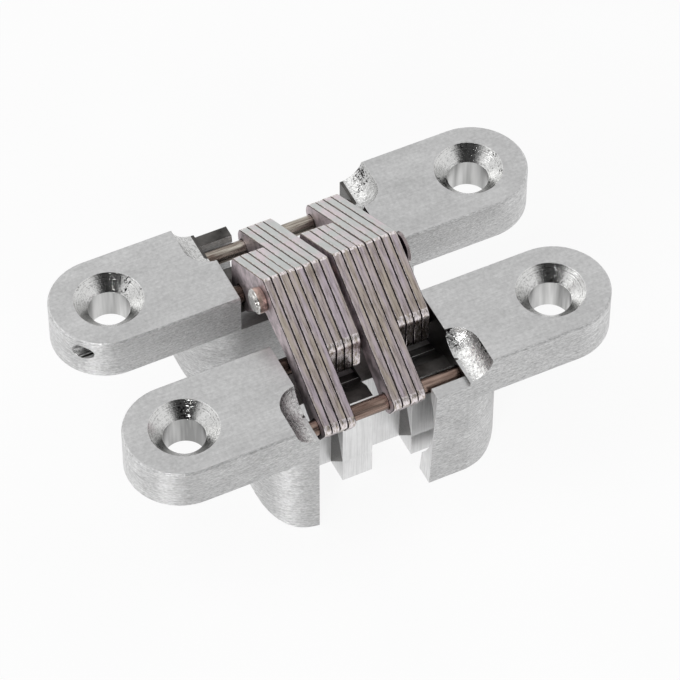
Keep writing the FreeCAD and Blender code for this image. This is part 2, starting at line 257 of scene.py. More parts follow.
def add_node(tree, kind, links=None, values=None, **settings):
    """Adds a node, sets its properties and input values, and links its inputs."""
    node = tree.nodes.new(kind)
    for name, value in settings.items():
        setattr(node, name, value)
    for name, value in (values or {}).items():
        node.inputs[name].default_value = value
    for name, source in (links or {}).items():
        tree.links.new(source, node.inputs[name])
    return node


def new_material(name, **shader_values):
    """A material with its Principled shader set, and the shader and tree to build on."""
    material = bpy.data.materials.new(name)
    material.use_nodes = True
    tree = material.node_tree
    shader = tree.nodes["Principled BSDF"]
    for socket, value in shader_values.items():
        shader.inputs[socket.replace("_", " ")].default_value = value
    return material, tree, shader


def streaks(tree, lengths, detail=3.0, distortion=0.0):
    """Noise drawn out into streaks: lengths are the grain size along X, Y and Z in mm."""
    point = add_node(tree, "ShaderNodeTexCoord").outputs["Object"]
    scale = [1 / (length * MM) for length in lengths]
    mapped = add_node(tree, "ShaderNodeMapping", {"Vector": point}, {"Scale": scale})
    values = {"Scale": 1.0, "Detail": detail, "Roughness": 0.6, "Distortion": distortion}
    return add_node(tree, "ShaderNodeTexNoise", {"Vector": mapped.outputs["Vector"]}, values).outputs["Fac"]


def turned_rings(tree, settings, width):
    """Noise in rings of a width in mm round each screw hole, as a turning tool leaves them."""
    point = add_node(tree, "ShaderNodeTexCoord").outputs["Object"]
    folded = add_node(tree, "ShaderNodeVectorMath", {0: point}, operation="ABSOLUTE")
    hole = (settings.hole_x * MM, settings.hole_y * MM, 0)
    across = add_node(
        tree, "ShaderNodeVectorMath", {0: folded.outputs["Vector"]}, {1: hole}, operation="SUBTRACT")
    flat = add_node(
        tree, "ShaderNodeVectorMath", {0: across.outputs["Vector"]}, {1: (1, 1, 0)}, operation="MULTIPLY")
    radius = add_node(tree, "ShaderNodeVectorMath", {0: flat.outputs["Vector"]}, operation="LENGTH")
    height = add_node(tree, "ShaderNodeSeparateXYZ", {"Vector": point})
    ring = add_node(
        tree, "ShaderNodeCombineXYZ", {"X": radius.outputs["Value"], "Z": height.outputs["Z"]})
    values = {"Scale": 1 / (width * MM), "Detail": 2.0, "Roughness": 0.6}
    return add_node(tree, "ShaderNodeTexNoise", {"Vector": ring.outputs["Vector"]}, values).outputs["Fac"]


def mean_pattern(tree, first, second):
    """The mean of two patterns, with a little more of the first."""
    return add_node(tree, "ShaderNodeMix", {2: first, 3: second}, {0: 0.45}, data_type="FLOAT").outputs[0]


def two_tone(tree, pattern, dark, light, low=0.3, high=0.7):
    """Runs from a dark to a light colour as a pattern rises from a low to a high value."""
    limits = {"From Min": low, "From Max": high}
    share = add_node(tree, "ShaderNodeMapRange", {"Value": pattern}, limits)
    # sockets 6 and 7 of a colour mix are its two colours, and output 2 is the mixed one
    mix = add_node(
        tree, "ShaderNodeMix", {0: share.outputs["Result"]}, {6: (*dark, 1.0), 7: (*light, 1.0)},
        data_type="RGBA")
    return mix.outputs[2]


def shade(tree, base, pattern, amount):
    """Darkens or lightens a colour by a pattern that varies round one half."""
    limits = {"From Min": 0.25, "From Max": 0.75, "To Min": 1 - amount, "To Max": 1 + amount}
    factor = add_node(tree, "ShaderNodeMapRange", {"Value": pattern}, limits).outputs["Result"]
    mix = add_node(tree, "ShaderNodeVectorMath", {0: base, "Scale": factor}, operation="SCALE")
    return mix.outputs["Vector"]


def specked(tree, base, dirt, spacing, start):
    """A colour with fine dark specks, gathered into patches that lie some mm apart."""
    patches = streaks(tree, (spacing, spacing, spacing), detail=2.0)
    specks = streaks(tree, (0.3, 0.3, 0.3), detail=4.0, distortion=0.5)
    pattern = mean_pattern(tree, patches, specks)
    limits = {"From Min": start, "From Max": 0.6}
    share = add_node(tree, "ShaderNodeMapRange", {"Value": pattern}, limits)
    links = {0: share.outputs["Result"], 6: base}
    return add_node(tree, "ShaderNodeMix", links, {7: (*dirt, 1.0)}, data_type="RGBA").outputs[2]


def finish_surface(tree, shader, base, pattern, smooth, rough, height, rounding=0.1):
    """Sets colour, a roughness that follows a pattern, and bump of a real height in mm.

    The bump lies over edges that look rounded by a real radius in mm.
    """
    tree.links.new(base, shader.inputs["Base Color"])
    limits = {"From Min": 0.3, "From Max": 0.7, "To Min": smooth, "To Max": rough}
    roughness = add_node(tree, "ShaderNodeMapRange", {"Value": pattern}, limits)
    tree.links.new(roughness.outputs["Result"], shader.inputs["Roughness"])
    edge = add_node(tree, "ShaderNodeBevel", values={"Radius": rounding * MM}, samples=4)
    links = {"Height": pattern, "Normal": edge.outputs["Normal"]}
    bump = add_node(tree, "ShaderNodeBump", links, {"Strength": 1.0, "Distance": height * MM})
    tree.links.new(bump.outputs["Normal"], shader.inputs["Normal"])


def scaled(rgb, factor):
    return tuple(channel * factor for channel in rgb)


def stretch_sheen(tree, shader, axis):
    """Draws the sheen across brush lines that run round an axis."""
    tangent = add_node(tree, "ShaderNodeTangent", direction_type="RADIAL", axis=axis)
    tree.links.new(tangent.outputs["Tangent"], shader.inputs["Tangent"])


def linished_zinc():
    """Zinc alloy, linished and satin plated: fine lines along the part draw its sheen across it.

    The lines are drawn wider than a belt leaves them, so that they show.
    """
    settings = bpy.context.scene.hinge_casting
    material, tree, shader = new_material("satin plated zinc, linished", Metallic=1.0, Anisotropic=0.5)
    stretch_sheen(tree, shader, "X")
    lines = streaks(tree, (2.6, 0.17, 0.17), detail=5.0)
    broad = streaks(tree, (9.0, 4.0, 4.0), detail=3.0)
    base = two_tone(tree, lines, scaled(settings.zinc, 0.89), scaled(settings.zinc, 1.05))
    base = shade(tree, base, broad, 0.1)
    mottle = streaks(tree, (0.45, 0.45, 0.45), detail=4.0)
    base = shade(tree, base, mottle, 0.14)
    finish_surface(tree, shader, base, lines, smooth=0.3, rough=0.46, height=0.012)
    return material


def brushed_zinc():
    """The same plating on the upright sides, in a paler copy as painted light: level brush lines stretch a
    lamp into an upright band.

    The grain is drawn coarser than the brush leaves it, so that its glitter shows.
    """
    settings = bpy.context.scene.hinge_casting
    material, tree, shader = new_material(
        "satin plated zinc, brushed sides", Metallic=1.0, Anisotropic=0.95, Anisotropic_Rotation=0.25)
    stretch_sheen(tree, shader, "Z")
    grain = streaks(tree, (0.5, 0.5, 0.19), detail=5.0)
    broad = streaks(tree, (6.0, 6.0, 3.0), detail=3.0)
    base = two_tone(tree, grain, scaled(settings.sides, 0.6), scaled(settings.sides, 1.16))
    level = streaks(tree, (4.0, 4.0, 0.16), detail=4.0)
    base = shade(tree, base, level, 0.22)
    base = shade(tree, base, broad, 0.08)
    finish_surface(tree, shader, base, grain, smooth=0.34, rough=0.46, height=0.12)
    return material


def turned_zinc():
    """Turned and plated zinc alloy: nearly a mirror, with tool rings and small pits."""
    settings = bpy.context.scene.hinge_casting
    material, tree, shader = new_material("bright plated zinc, turned", Metallic=1.0)
    pits = streaks(tree, (0.4, 0.4, 0.4), detail=5.0, distortion=0.8)
    rings = turned_rings(tree, settings, width=0.22)
    both = mean_pattern(tree, pits, rings)
    base = two_tone(tree, both, scaled(settings.bright, 0.5), settings.bright, low=0.36, high=0.52)
    base = specked(tree, base, settings.dirt, spacing=3.6, start=0.57)
    finish_surface(tree, shader, base, both, smooth=0.06, rough=0.16, height=0.05, rounding=0.08)
    return material


def drilled_zinc():
    """Plating in the bores, in upright bands from dark to light: painted sheen and painted shade on the
    hole's round wall.
    """
    settings = bpy.context.scene.hinge_casting
    material, tree, shader = new_material("plated zinc, drilled", Metallic=1.0)
    bands = streaks(tree, (2.6, 2.6, 30.0), detail=3.0)
    # painted shade: the bands' dark tone darkens the hole
    dark = scaled(settings.bright, 0.42)
    base = two_tone(tree, bands, dark, scaled(settings.bright, 1.1), low=0.38, high=0.62)
    finish_surface(tree, shader, base, bands, smooth=0.3, rough=0.42, height=0.05, rounding=0.08)
    return material


def milled_zinc():
    """Plating in the hollows by the window, milled and then tumbled: bright, pitted and specked."""
    settings = bpy.context.scene.hinge_casting
    material, tree, shader = new_material("bright plated zinc, milled", Metallic=1.0)
    pits = streaks(tree, (0.4, 0.4, 0.4), detail=5.0, distortion=0.6)
    base = two_tone(tree, pits, scaled(settings.bright, 0.6), settings.bright, low=0.36, high=0.56)
    base = specked(tree, base, settings.dirt, spacing=5.0, start=0.575)
    finish_surface(tree, shader, base, pits, smooth=0.18, rough=0.32, height=0.1, rounding=0.08)
    return material


def cast_zinc():
    """Plated walls of the window, never linished: dull, and dark as painted shade, with level file marks."""
    settings = bpy.context.scene.hinge_casting
    material, tree, shader = new_material("plated zinc, as cast", Metallic=1.0)
    marks = streaks(tree, (3.0, 3.0, 0.22), detail=4.0)
    stains = streaks(tree, (2.5, 2.5, 2.5), detail=3.0, distortion=0.5)
    base = two_tone(tree, marks, scaled(settings.shadowed, 0.4), scaled(settings.shadowed, 1.1))
    base = shade(tree, base, stains, 0.3)
    finish_surface(tree, shader, base, marks, smooth=0.26, rough=0.44, height=0.03)
    return material


def drawn_zinc():
    """Plated flanks as the die left them: dull, painted pale as painted light in the shaded window, with
    upright marks from drawing the casting.
    """
    settings = bpy.context.scene.hinge_casting
    material, tree, shader = new_material("plated zinc, die drawn", Metallic=1.0)
    marks = streaks(tree, (0.22, 0.22, 7.0), detail=3.0)
    broad = streaks(tree, (3.0, 3.0, 5.0), detail=3.0)
    base = two_tone(tree, marks, scaled(settings.flanks, 0.86), settings.flanks, low=0.36, high=0.56)
    base = shade(tree, base, broad, 0.1)
    finish_surface(tree, shader, base, marks, smooth=0.48, rough=0.62, height=0.02)
    return material


def link_steel():
    """Stamped steel with thin plating: drag lines along each edge, and a faint pink in its sheen."""
    settings = bpy.context.scene.hinge_link
    material, tree, shader = new_material("plated stamped steel", Metallic=1.0)
    lines = streaks(tree, (0.26, 2.4, 2.4), detail=5.0)
    clouds = streaks(tree, (1.2, 9.0, 9.0), detail=2.0)
    warm = two_tone(tree, lines, settings.streak, settings.steel, low=0.36, high=0.58)
    cool = two_tone(tree, lines, scaled(settings.blush, 0.6), settings.blush, low=0.36, high=0.58)
    limits = {"From Min": 0.38, "From Max": 0.62}
    share = add_node(tree, "ShaderNodeMapRange", {"Value": clouds}, limits).outputs["Result"]
    base = add_node(tree, "ShaderNodeMix", {0: share, 6: warm, 7: cool}, data_type="RGBA").outputs[2]
    finish_surface(tree, shader, base, lines, smooth=0.24, rough=0.38, height=0.03, rounding=0.05)
    return material


def shaded_joint_steel():
    """The flanks of the stamped edges, painted black as painted shade: the thin dark line between two
    plates.
    """
    settings = bpy.context.scene.hinge_link
    material, tree, shader = new_material("stamped steel, painted joint shade", Metallic=1.0)
    smears = streaks(tree, (0.5, 2.5, 2.5), detail=3.0)
    base = two_tone(tree, smears, settings.joint_shade, scaled(settings.joint_shade, 3.0), low=0.4, high=0.7)
    finish_surface(tree, shader, base, smears, smooth=0.4, rough=0.6, height=0.01, rounding=0.03)
    return material


def lit_joint_steel():
    """The same flanks on the back slope, which faces the light: a fainter grey line, as painted light."""
    settings = bpy.context.scene.hinge_link
    material, tree, shader = new_material("stamped steel, painted lit joint", Metallic=1.0)
    smears = streaks(tree, (0.8, 5.0, 5.0), detail=3.0)
    base = two_tone(tree, smears, scaled(settings.streak, 0.25), settings.streak, low=0.4, high=0.6)
    finish_surface(tree, shader, base, smears, smooth=0.4, rough=0.6, height=0.01, rounding=0.03)
    return material


def glint_steel():
    """Painted highlight along the stamped edges, where each plate catches a thin line of light."""
    settings = bpy.context.scene.hinge_link
    material, tree, shader = new_material("rubbed stamped steel", Metallic=1.0)
    wear = streaks(tree, (0.35, 0.8, 0.8), detail=5.0)
    base = two_tone(tree, wear, scaled(settings.steel, 0.8), settings.rubbed, low=0.4, high=0.56)
    finish_surface(tree, shader, base, wear, smooth=0.14, rough=0.34, height=0.04, rounding=0.03)
    return material


def lit_slope_steel():
    """The edges on the pack's back slope: a paler and greyer copy as painted sheen where it faces the light,
    with faint pink patches.
    """
    settings = bpy.context.scene.hinge_link
    material, tree, shader = new_material("plated stamped steel, pale", Metallic=1.0)
    lines = streaks(tree, (0.26, 2.4, 2.4), detail=5.0)
    clouds = streaks(tree, (3.0, 5.0, 5.0), detail=3.0)
    base = two_tone(tree, clouds, settings.pale, settings.pink, low=0.46, high=0.62)
    base = shade(tree, base, lines, 0.16)
    finish_surface(tree, shader, base, lines, smooth=0.28, rough=0.4, height=0.02, rounding=0.05)
    return material


def sheet_steel():
    """The flat faces of the plates: rolled sheet, dull and a little pink."""
    settings = bpy.context.scene.hinge_link
    material, tree, shader = new_material("rolled sheet steel", Metallic=1.0)
    grain = streaks(tree, (1.5, 1.5, 1.5), detail=5.0, distortion=0.4)
    base = two_tone(tree, grain, scaled(settings.pink, 0.6), scaled(settings.pink, 1.1), low=0.36, high=0.6)
    finish_surface(tree, shader, base, grain, smooth=0.46, rough=0.6, height=0.02, rounding=0.05)
    return material


def bronzed_steel(name, dark, light):
    """Drawn steel with an oiled bronze colour, rubbed to a lighter one where the links ride."""
    material, tree, shader = new_material(name, Metallic=1.0)
    drawn = streaks(tree, (5.0, 0.16, 0.16), detail=3.0)
    rubbed = streaks(tree, (7.0, 0.7, 0.7), detail=3.0)
    base = two_tone(tree, rubbed, dark, light, low=0.36, high=0.62)
    base = shade(tree, base, drawn, 0.3)
    finish_surface(tree, shader, base, drawn, smooth=0.18, rough=0.34, height=0.012, rounding=0.03)
    return material


def polished_steel():
    """Polished steel of the rivet, with hammer marks from setting it."""
    settings = bpy.context.scene.hinge_rivet
    material, tree, shader = new_material("polished rivet steel", Metallic=1.0)
    marks = streaks(tree, (0.8, 0.8, 0.8), detail=3.0, distortion=0.3)
    base = two_tone(tree, marks, scaled(settings.steel, 0.7), settings.steel, low=0.34, high=0.56)
    finish_surface(tree, shader, base, marks, smooth=0.14, rough=0.3, height=0.03, rounding=0.05)
    return material


def tinted_steel():
    """The unpolished side of the rivet head, with a pink-brown tint left by its plating."""
    settings = bpy.context.scene.hinge_rivet
    material, tree, shader = new_material("tinted rivet steel", Metallic=1.0)
    patches = streaks(tree, (0.9, 0.9, 0.9), detail=3.0, distortion=0.3)
    base = two_tone(tree, patches, scaled(settings.tint, 0.5), settings.tint, low=0.4, high=0.6)
    finish_surface(tree, shader, base, patches, smooth=0.26, rough=0.4, height=0.02, rounding=0.05)
    return material


# Meshes


def new_piece(name, mesh, body, materials, replaced):
    """Links a mesh as a piece that rides on a body and stands for a CAD node."""
    piece = bpy.data.objects.new(name, mesh)
    bpy.context.scene.collection.objects.link(piece)
    for material in materials:
        piece.data.materials.append(material)
    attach(piece, body)
    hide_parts(replaced)
    return piece


def smooth_by_angle(mesh, degrees):
    """Smooth shading that keeps edges sharper than an angle."""
    mesh.shade_smooth()
    mesh.set_sharp_from_angle(angle=math.radians(degrees))


def fillet_points(before, corner, after, radius, steps):
    """Points of the arc that rounds one corner of an outline."""
    if radius <= 0:
        return [corner]
    into = (before - corner).normalized()
    out = (after - corner).normalized()
    half_angle = into.angle(out) / 2
    reach = radius / math.tan(half_angle)
    centre = corner + (into + out).normalized() * (radius / math.sin(half_angle))
    start = corner + into * reach - centre
    finish = corner + out * reach - centre
    turn = start.angle_signed(finish)
    return [centre + Matrix.Rotation(-turn * step / steps, 2) @ start for step in range(steps + 1)]


def rounded_outline(corners, steps=8):
    """Closed outline from (point, radius) corners."""
    points = []
    for index, (corner, radius) in enumerate(corners):
        before = corners[index - 1][0]
        after = corners[(index + 1) % len(corners)][0]
        points.extend(fillet_points(before, corner, after, radius, steps))
    return points


def turned_mesh(name, profile, centre, segments=64):
    """Mesh of revolution about X from (x, radius) points, which end on the axis or where they start."""
    mesh = bmesh.new()
    rings = []
    for x, radius in profile:
        if radius <= 0:
            rings.append([mesh.verts.new((x, centre[0], centre[1]))])
            continue
        ring = []
        for index in range(segments):
            angle = 2 * math.pi * index / segments
            y = centre[0] + radius * math.cos(angle)
            z = centre[1] + radius * math.sin(angle)
            ring.append(mesh.verts.new((x, y, z)))
        rings.append(ring)
    for first, second in zip(rings, rings[1:]):
        for index in range(segments):
            following = (index + 1) % segments
            if len(first) == 1:
                mesh.faces.new((first[0], second[following], second[index]))
            elif len(second) == 1:
                mesh.faces.new((first[index], first[following], second[0]))
            else:
                mesh.faces.new((first[index], first[following], second[following], second[index]))
    bmesh.ops.recalc_face_normals(mesh, faces=mesh.faces)
    data = bpy.data.meshes.new(name)
    mesh.transform(Matrix.Scale(MM, 4))
    mesh.to_mesh(data)
    mesh.free()
    return data


def turned_profile(points, radius, steps=5):
    """Rounds the inner corners of an open (x, radius) profile."""
    corners = [Vector(point) for point in points]
    profile = [corners[0]]
    for before, corner, after in zip(corners, corners[1:], corners[2:]):
        # two roundings share a side, so neither takes as much as half of it
        room = min((corner - before).length, (after - corner).length) * 0.45
        profile.extend(fillet_points(before, corner, after, min(radius, room), steps))
    profile.append(corners[-1])
    return profile


# Castings


def casting_zone(settings, centre, normal):
    """Which of the casting's finishes a facet has, from where it lies and which way it faces."""
    slack = 0.02
    end_block_reach = 2.3
    window_inner = 4.6
    window_outer = 16.9
    x, y, z = (abs(value) / MM for value in centre)
    depth = settings.face_height - z
    outward = normal.y * math.copysign(1, centre.y)
    level = abs(normal.z) > 0.99
    sideways = abs(normal.x) > FACING
    curved = max(abs(normal.x), abs(normal.y), abs(normal.z)) < 0.995
    from_hole = math.hypot(x - settings.hole_x, y - settings.hole_y)
    if depth < slack or level and depth > settings.plate_thickness - 0.1:
        return LINISHED
    if level:
        # the tops of the pillars, blocks and walls inside the window, which take its painted shade
        return AS_CAST if y < settings.wall_back or centre.y > 0 else LINISHED
    if from_hole < settings.countersink_radius + slack and normal.z > 0.3:
        return TURNED
    if from_hole <= settings.bore_radius + slack:
        return DRILLED
    beside = x - settings.window_x
    if 0 < beside < settings.scallop_radius and depth < settings.scallop_radius and curved:
        return MILLED
    # the upright faces inside the window and the pillars' sides take the pale painted light
    if x < settings.window_x and outward > FACING and y < settings.wall_face:
        return DIE_DRAWN
    if x < settings.wall_side_x and y > settings.pillar_side and sideways:
        return DIE_DRAWN
    if beside <= end_block_reach and abs(normal.y) < FACING and (sideways or curved):
        return AS_CAST
    if beside < -0.1 and window_inner < y < window_outer:
        return AS_CAST
    if curved or sideways or abs(normal.y) > FACING:
        return BRUSHED
    return LINISHED


def dressed_casting(node, name, body, materials):
    """A casting with merged facets, crisp smooth shading, and a finish for each zone."""
    settings = bpy.context.scene.hinge_casting
    mesh = bmesh.new()
    mesh.from_mesh(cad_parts[node].data)
    bmesh.ops.remove_doubles(mesh, verts=mesh.verts, dist=WELD * MM)
    for face in mesh.faces:
        face.material_index = casting_zone(settings, face.calc_center_median(), face.normal)
    data = bpy.data.meshes.new(name)
    mesh.to_mesh(data)
    mesh.free()
    imported_normals = data.attributes.get("custom_normal")
    if imported_normals:
        data.attributes.remove(imported_normals)
    smooth_by_angle(data, degrees=28)
    return new_piece(name, data, body, materials, node)


class HINGE_OT_castings(bpy.types.Operator):
    """Make the two zinc castings"""
    bl_idname = "hinge.castings"
    bl_label = "Castings"

    def execute(self, context):
        materials = [
            linished_zinc(), brushed_zinc(), turned_zinc(), cast_zinc(), drawn_zinc(), milled_zinc(),
            drilled_zinc(),
        ]
        dressed_casting("near_body", "near_casting", "near_half", materials)
        dressed_casting("far_body", "far_casting", "far_half", materials)
        return {"FINISHED"}


# Link plates


def link_corners(settings, lift, reach, end_corner):
    """Corners of an A link plate in (Y, Z) over the mounting face, each with its rounding."""
    cos_slope = math.cos(settings.ridge_slope)
    sin_slope = math.sin(settings.ridge_slope)
    ridge = Vector((0, settings.ridge_z + lift))
    along = Vector((-cos_slope, -sin_slope))
    down = Vector((sin_slope, -cos_slope))
    rod = Vector((-settings.rod_y, settings.rod_z))
    depth = (rod - ridge).dot(down) + settings.leg_depth
    to_rod = (rod - ridge).dot(along)
    long_top = ridge + along * (to_rod + settings.long_end + reach)
    end_y = settings.pivot_y + settings.short_end + reach / 2
    end_z = settings.pivot_z - settings.short_depth
    short_top = Vector((end_y, settings.ridge_z + lift - end_y * math.tan(settings.ridge_slope)))
    foot_inner = Vector((5.6, end_z))
    underside_high = Vector((-0.6, 2.0))
    underside_low = Vector((-7.0, -0.3))
    return [
        (ridge, 0.5),
        (short_top, 1.5),
        (Vector((end_y, end_z)), 1.8),
        (foot_inner, 1.2),
        (underside_high, 0.3),
        (underside_low, 0.3),
        (ridge + along * to_rod + down * depth, 0),
        (long_top + down * depth, 1.6),
        (long_top, end_corner),
    ]


def inset_outline(points, amount):
    """Moves every point of a clockwise outline inwards by an amount."""
    moved = []
    for index, point in enumerate(points):
        before = (point - points[index - 1]).normalized()
        after = (points[(index + 1) % len(points)] - point).normalized()
        inward_before = Vector((before.y, -before.x))
        inward_after = Vector((after.y, -after.x))
        middle = inward_before + inward_after
        moved.append(point + middle * (amount / (1 + inward_before.dot(inward_after))))
    return moved


def circle_points(centre, radius, count=32):
    points = []
    for index in range(count):
        angle = 2 * math.pi * index / count
        points.append(Vector((centre[0] + radius * math.cos(angle), centre[1] + radius * math.sin(angle))))
    return points


def plate_mesh(name, outline, holes, x0, x1, edge):
    """A plate between two X positions with rounded edges round its outline and its holes."""
    # each point of the section is an X position and how much of the rounding it lies inside the outline
    steep = edge * 0.7
    steep_share = 0.25
    section = [(x0, 1.0), (x0 + steep, steep_share), (x0 + edge, 0.0)]
    section += [(x1 - edge, 0.0), (x1 - steep, steep_share), (x1, 1.0)]
    # the steep outermost band on both sides is painted black as painted shade in the joint, and the next is
    # painted bright as a painted highlight
    bands = (SHADED_JOINT, GLINT, PLAIN, GLINT, SHADED_JOINT)
    # an outline's segments shorter than this make its bends and round ends, which get the painted highlight
    # too
    bend = 0.4
    mesh = bmesh.new()
    rims = ([], [])
    for points in [outline] + holes:
        rings = []
        for x, share in section:
            moved = inset_outline(points, edge * share)
            rings.append([mesh.verts.new((x, p.x, p.y)) for p in moved])
        for number, (first, second) in enumerate(zip(rings, rings[1:])):
            for index in range(len(points)):
                following = (index + 1) % len(points)
                face = mesh.faces.new((first[index], first[following], second[following], second[index]))
                face.material_index = bands[number]
                if bands[number] == PLAIN and (points[index] - points[following]).length < bend:
                    face.material_index = GLINT
        for rim, ring in zip(rims, (rings[0], rings[-1])):
            for index in range(len(ring)):
                rim.append(mesh.edges.get((ring[index], ring[(index + 1) % len(ring)])))
    for rim in rims:
        bmesh.ops.triangle_fill(mesh, edges=rim, use_beauty=True, use_dissolve=False)
    bmesh.ops.recalc_face_normals(mesh, faces=mesh.faces)
    # on the back slope, which faces the light, the joint lines are painted fainter and the plating paler, as
    # painted light
    lit_slope_finishes = {PLAIN: LIT_SLOPE, SHADED_JOINT: LIT_JOINT, GLINT: GLINT}
    for face in mesh.faces:
        if abs(face.normal.x) > FACING:
            face.material_index = SHEET
        elif min(face.normal.y, face.normal.z) > 0.2:
            face.material_index = lit_slope_finishes[face.material_index]
        # the end faces that point along Y get the painted highlight as well
        elif face.material_index == PLAIN and abs(face.normal.y) > FACING:
            face.material_index = GLINT
    data = bpy.data.meshes.new(name)
    mesh.transform(Matrix.Scale(MM, 4))
    mesh.to_mesh(data)
    mesh.free()
    return data


def dressed_plate(settings, lane, number, materials):
    """One link plate, slightly unlike its neighbours, as stamped plates are."""
    node = f"link_{lane}_plate_{number}"
    low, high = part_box(node)
    chance = random.Random(node)
    lift = chance.uniform(-1, 1) * settings.unevenness
    reach = chance.uniform(-1, 1) * settings.unevenness
    turned = lane.startswith("b")
    end_corner = settings.far_corner if turned else settings.end_corner
    outline = rounded_outline(link_corners(settings, lift, reach, end_corner))
    holes = [
        circle_points((0, settings.centre_z), settings.rivet_hole),
        circle_points((settings.pivot_y, settings.pivot_z), settings.pin_hole),
        circle_points((-settings.rod_y, settings.rod_z), settings.rod_hole),
    ]
    face_height = bpy.context.scene.hinge_casting.face_height
    sense = -1 if turned else 1
    placed = []
    for points in [outline] + holes:
        placed.append([Vector((p.x * sense, p.y + face_height)) for p in points])
    if turned:
        placed = [list(reversed(points)) for points in placed]
    x0 = low.x / MM - (settings.middle_fill if node == "link_a2_plate_1" else 0)
    x1 = high.x / MM + (settings.middle_fill if node == "link_b1_plate_4" else 0)
    data = plate_mesh(node, placed[0], placed[1:], x0, x1, settings.edge_radius)
    smooth_by_angle(data, degrees=22)
    body = "b_links" if turned else "a_links"
    return new_piece(f"stamped_{lane}_{number}", data, body, materials, node)


class HINGE_OT_links(bpy.types.Operator):
    """Make the sixteen stamped link plates"""
    bl_idname = "hinge.links"
    bl_label = "Link plates"

    def execute(self, context):
        settings = context.scene.hinge_link
        materials = [
            link_steel(), shaded_joint_steel(), glint_steel(), lit_slope_steel(), sheet_steel(), lit_joint_steel(),
        ]
        for lane in LANES:
            for number in range(1, PLATES_PER_LANE + 1):
                dressed_plate(settings, lane, number, materials)
        return {"FINISHED"}


# Rods, pins and rivet


class HINGE_OT_rods(bpy.types.Operator):
    """Make the two fixed pins and the two sliding rods"""
    bl_idname = "hinge.rods"
    bl_label = "Pins and rods"

    def execute(self, context):
        settings = context.scene.hinge_round
        dark = settings.bronze
        light = settings.bronze_light
        # painted shade: the fixed pins sit in dark gaps, so their bronze is darkened to a quarter
        pin_shade = 0.25
        rubbed = bronzed_steel("bronzed drawn steel", dark, light)
        worn = bronzed_steel("bronzed drawn steel, worn", dark, settings.bare)
        shaded_pins = bronzed_steel(
            "bronzed drawn steel, painted shade", scaled(dark, pin_shade), scaled(light, pin_shade))
        pieces = [
            ("near_pin", "near_half", settings.pin_radius, shaded_pins),
            ("far_pin", "far_half", settings.pin_radius, shaded_pins),
            ("near_rod", "a_links", settings.rod_radius, rubbed),
            ("far_rod", "b_links", settings.rod_radius, worn),
        ]
        for node, body, radius, material in pieces:
            low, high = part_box(node)
            ends = [(low.x / MM, 0), (low.x / MM, radius), (high.x / MM, radius), (high.x / MM, 0)]
            middle = (low + high) / (2 * MM)
            profile = turned_profile(ends, settings.end_chamfer)
            data = turned_mesh(node, profile, (middle.y, middle.z))
            smooth_by_angle(data, degrees=40)
            new_piece(f"turned_{node}", data, body, [material], node)
        return {"FINISHED"}


class HINGE_OT_rivet(bpy.types.Operator):
    """Make the centre rivet"""
    bl_idname = "hinge.rivet"
    bl_label = "Rivet"

    def execute(self, context):
        settings = context.scene.hinge_rivet
        low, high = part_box("centre_rivet")
        middle = (low + high) / (2 * MM)
        tail_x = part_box("rivet_washer")[1].x / MM
        step_x = low.x / MM
        head_x = step_x + settings.step_height
        neck_x = head_x + settings.head_thickness
        shank_x = neck_x + settings.neck_length - RIVET_ROOM
        end_x = high.x / MM
        corners = [
            (step_x, 0), (step_x, settings.step_radius), (head_x, settings.step_radius),
            (head_x, settings.head_radius), (neck_x, settings.head_radius),
            (neck_x, settings.neck_radius), (shank_x, settings.neck_radius),
            (shank_x, settings.shank_radius), (tail_x, settings.shank_radius),
            (tail_x, settings.tail_radius), (end_x, settings.tail_radius), (end_x, 0),
        ]
        data = turned_mesh("centre_rivet", turned_profile(corners, settings.rounding), (middle.y, middle.z))
        # all but the head's face and the tail has the tint
        rim_x = head_x + settings.rounding
        for face in data.polygons:
            if rim_x * MM < face.center.x < tail_x * MM:
                face.material_index = 1
        smooth_by_angle(data, degrees=40)
        materials = [polished_steel(), tinted_steel()]
        new_piece("set_rivet", data, "b_links", materials, "centre_rivet")
        return {"FINISHED"}


class HINGE_OT_washer(bpy.types.Operator):
    """Make the washer under the rivet's tail"""
    bl_idname = "hinge.washer"
    bl_label = "Washer"

    def execute(self, context):
        # the washer is cupped: its middle lies on the plate, and its rim stands off and is rounded
        settings = context.scene.hinge_rivet
        low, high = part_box("centre_rivet")
        middle = (low + high) / (2 * MM)
        x0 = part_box("rivet_washer")[0].x / MM
        hole = settings.shank_radius + RIVET_ROOM
        radius = settings.washer_radius
        thick = settings.washer_thickness
        bevel = settings.washer_edge
        rim_x = x0 + settings.washer_cup
        cup = radius * 0.55
        rim = radius * 0.85
        section = [
            (x0, hole), (x0, cup), (rim_x, rim), (rim_x + settings.washer_flare, radius),
            (rim_x + thick - bevel, radius), (rim_x + thick, radius - bevel), (rim_x + thick, rim),
            (x0 + thick, cup), (x0 + thick, hole), (x0, hole),
        ]
        data = turned_mesh("rivet_washer", section, (middle.y, middle.z))
        washer = bmesh.new()
        washer.from_mesh(data)
        bmesh.ops.remove_doubles(washer, verts=washer.verts, dist=WELD * MM)
        bmesh.ops.recalc_face_normals(washer, faces=washer.faces)
        # painted shade: the faces turned toward the plates take the dark joint material, for the shade in
        # the gap under the rim
        for face in washer.faces:
            inner = face.calc_center_median().x < rim_x * MM
            face.material_index = 1 if inner and face.normal.x < -0.1 else 0
        washer.to_mesh(data)
        washer.free()
        smooth_by_angle(data, degrees=50)
        materials = [bpy.data.materials[name] for name in ("polished rivet steel", "stamped steel, painted joint shade")]
        new_piece("pressed_washer", data, "b_links", materials, "rivet_washer")
        return {"FINISHED"}


# Stage


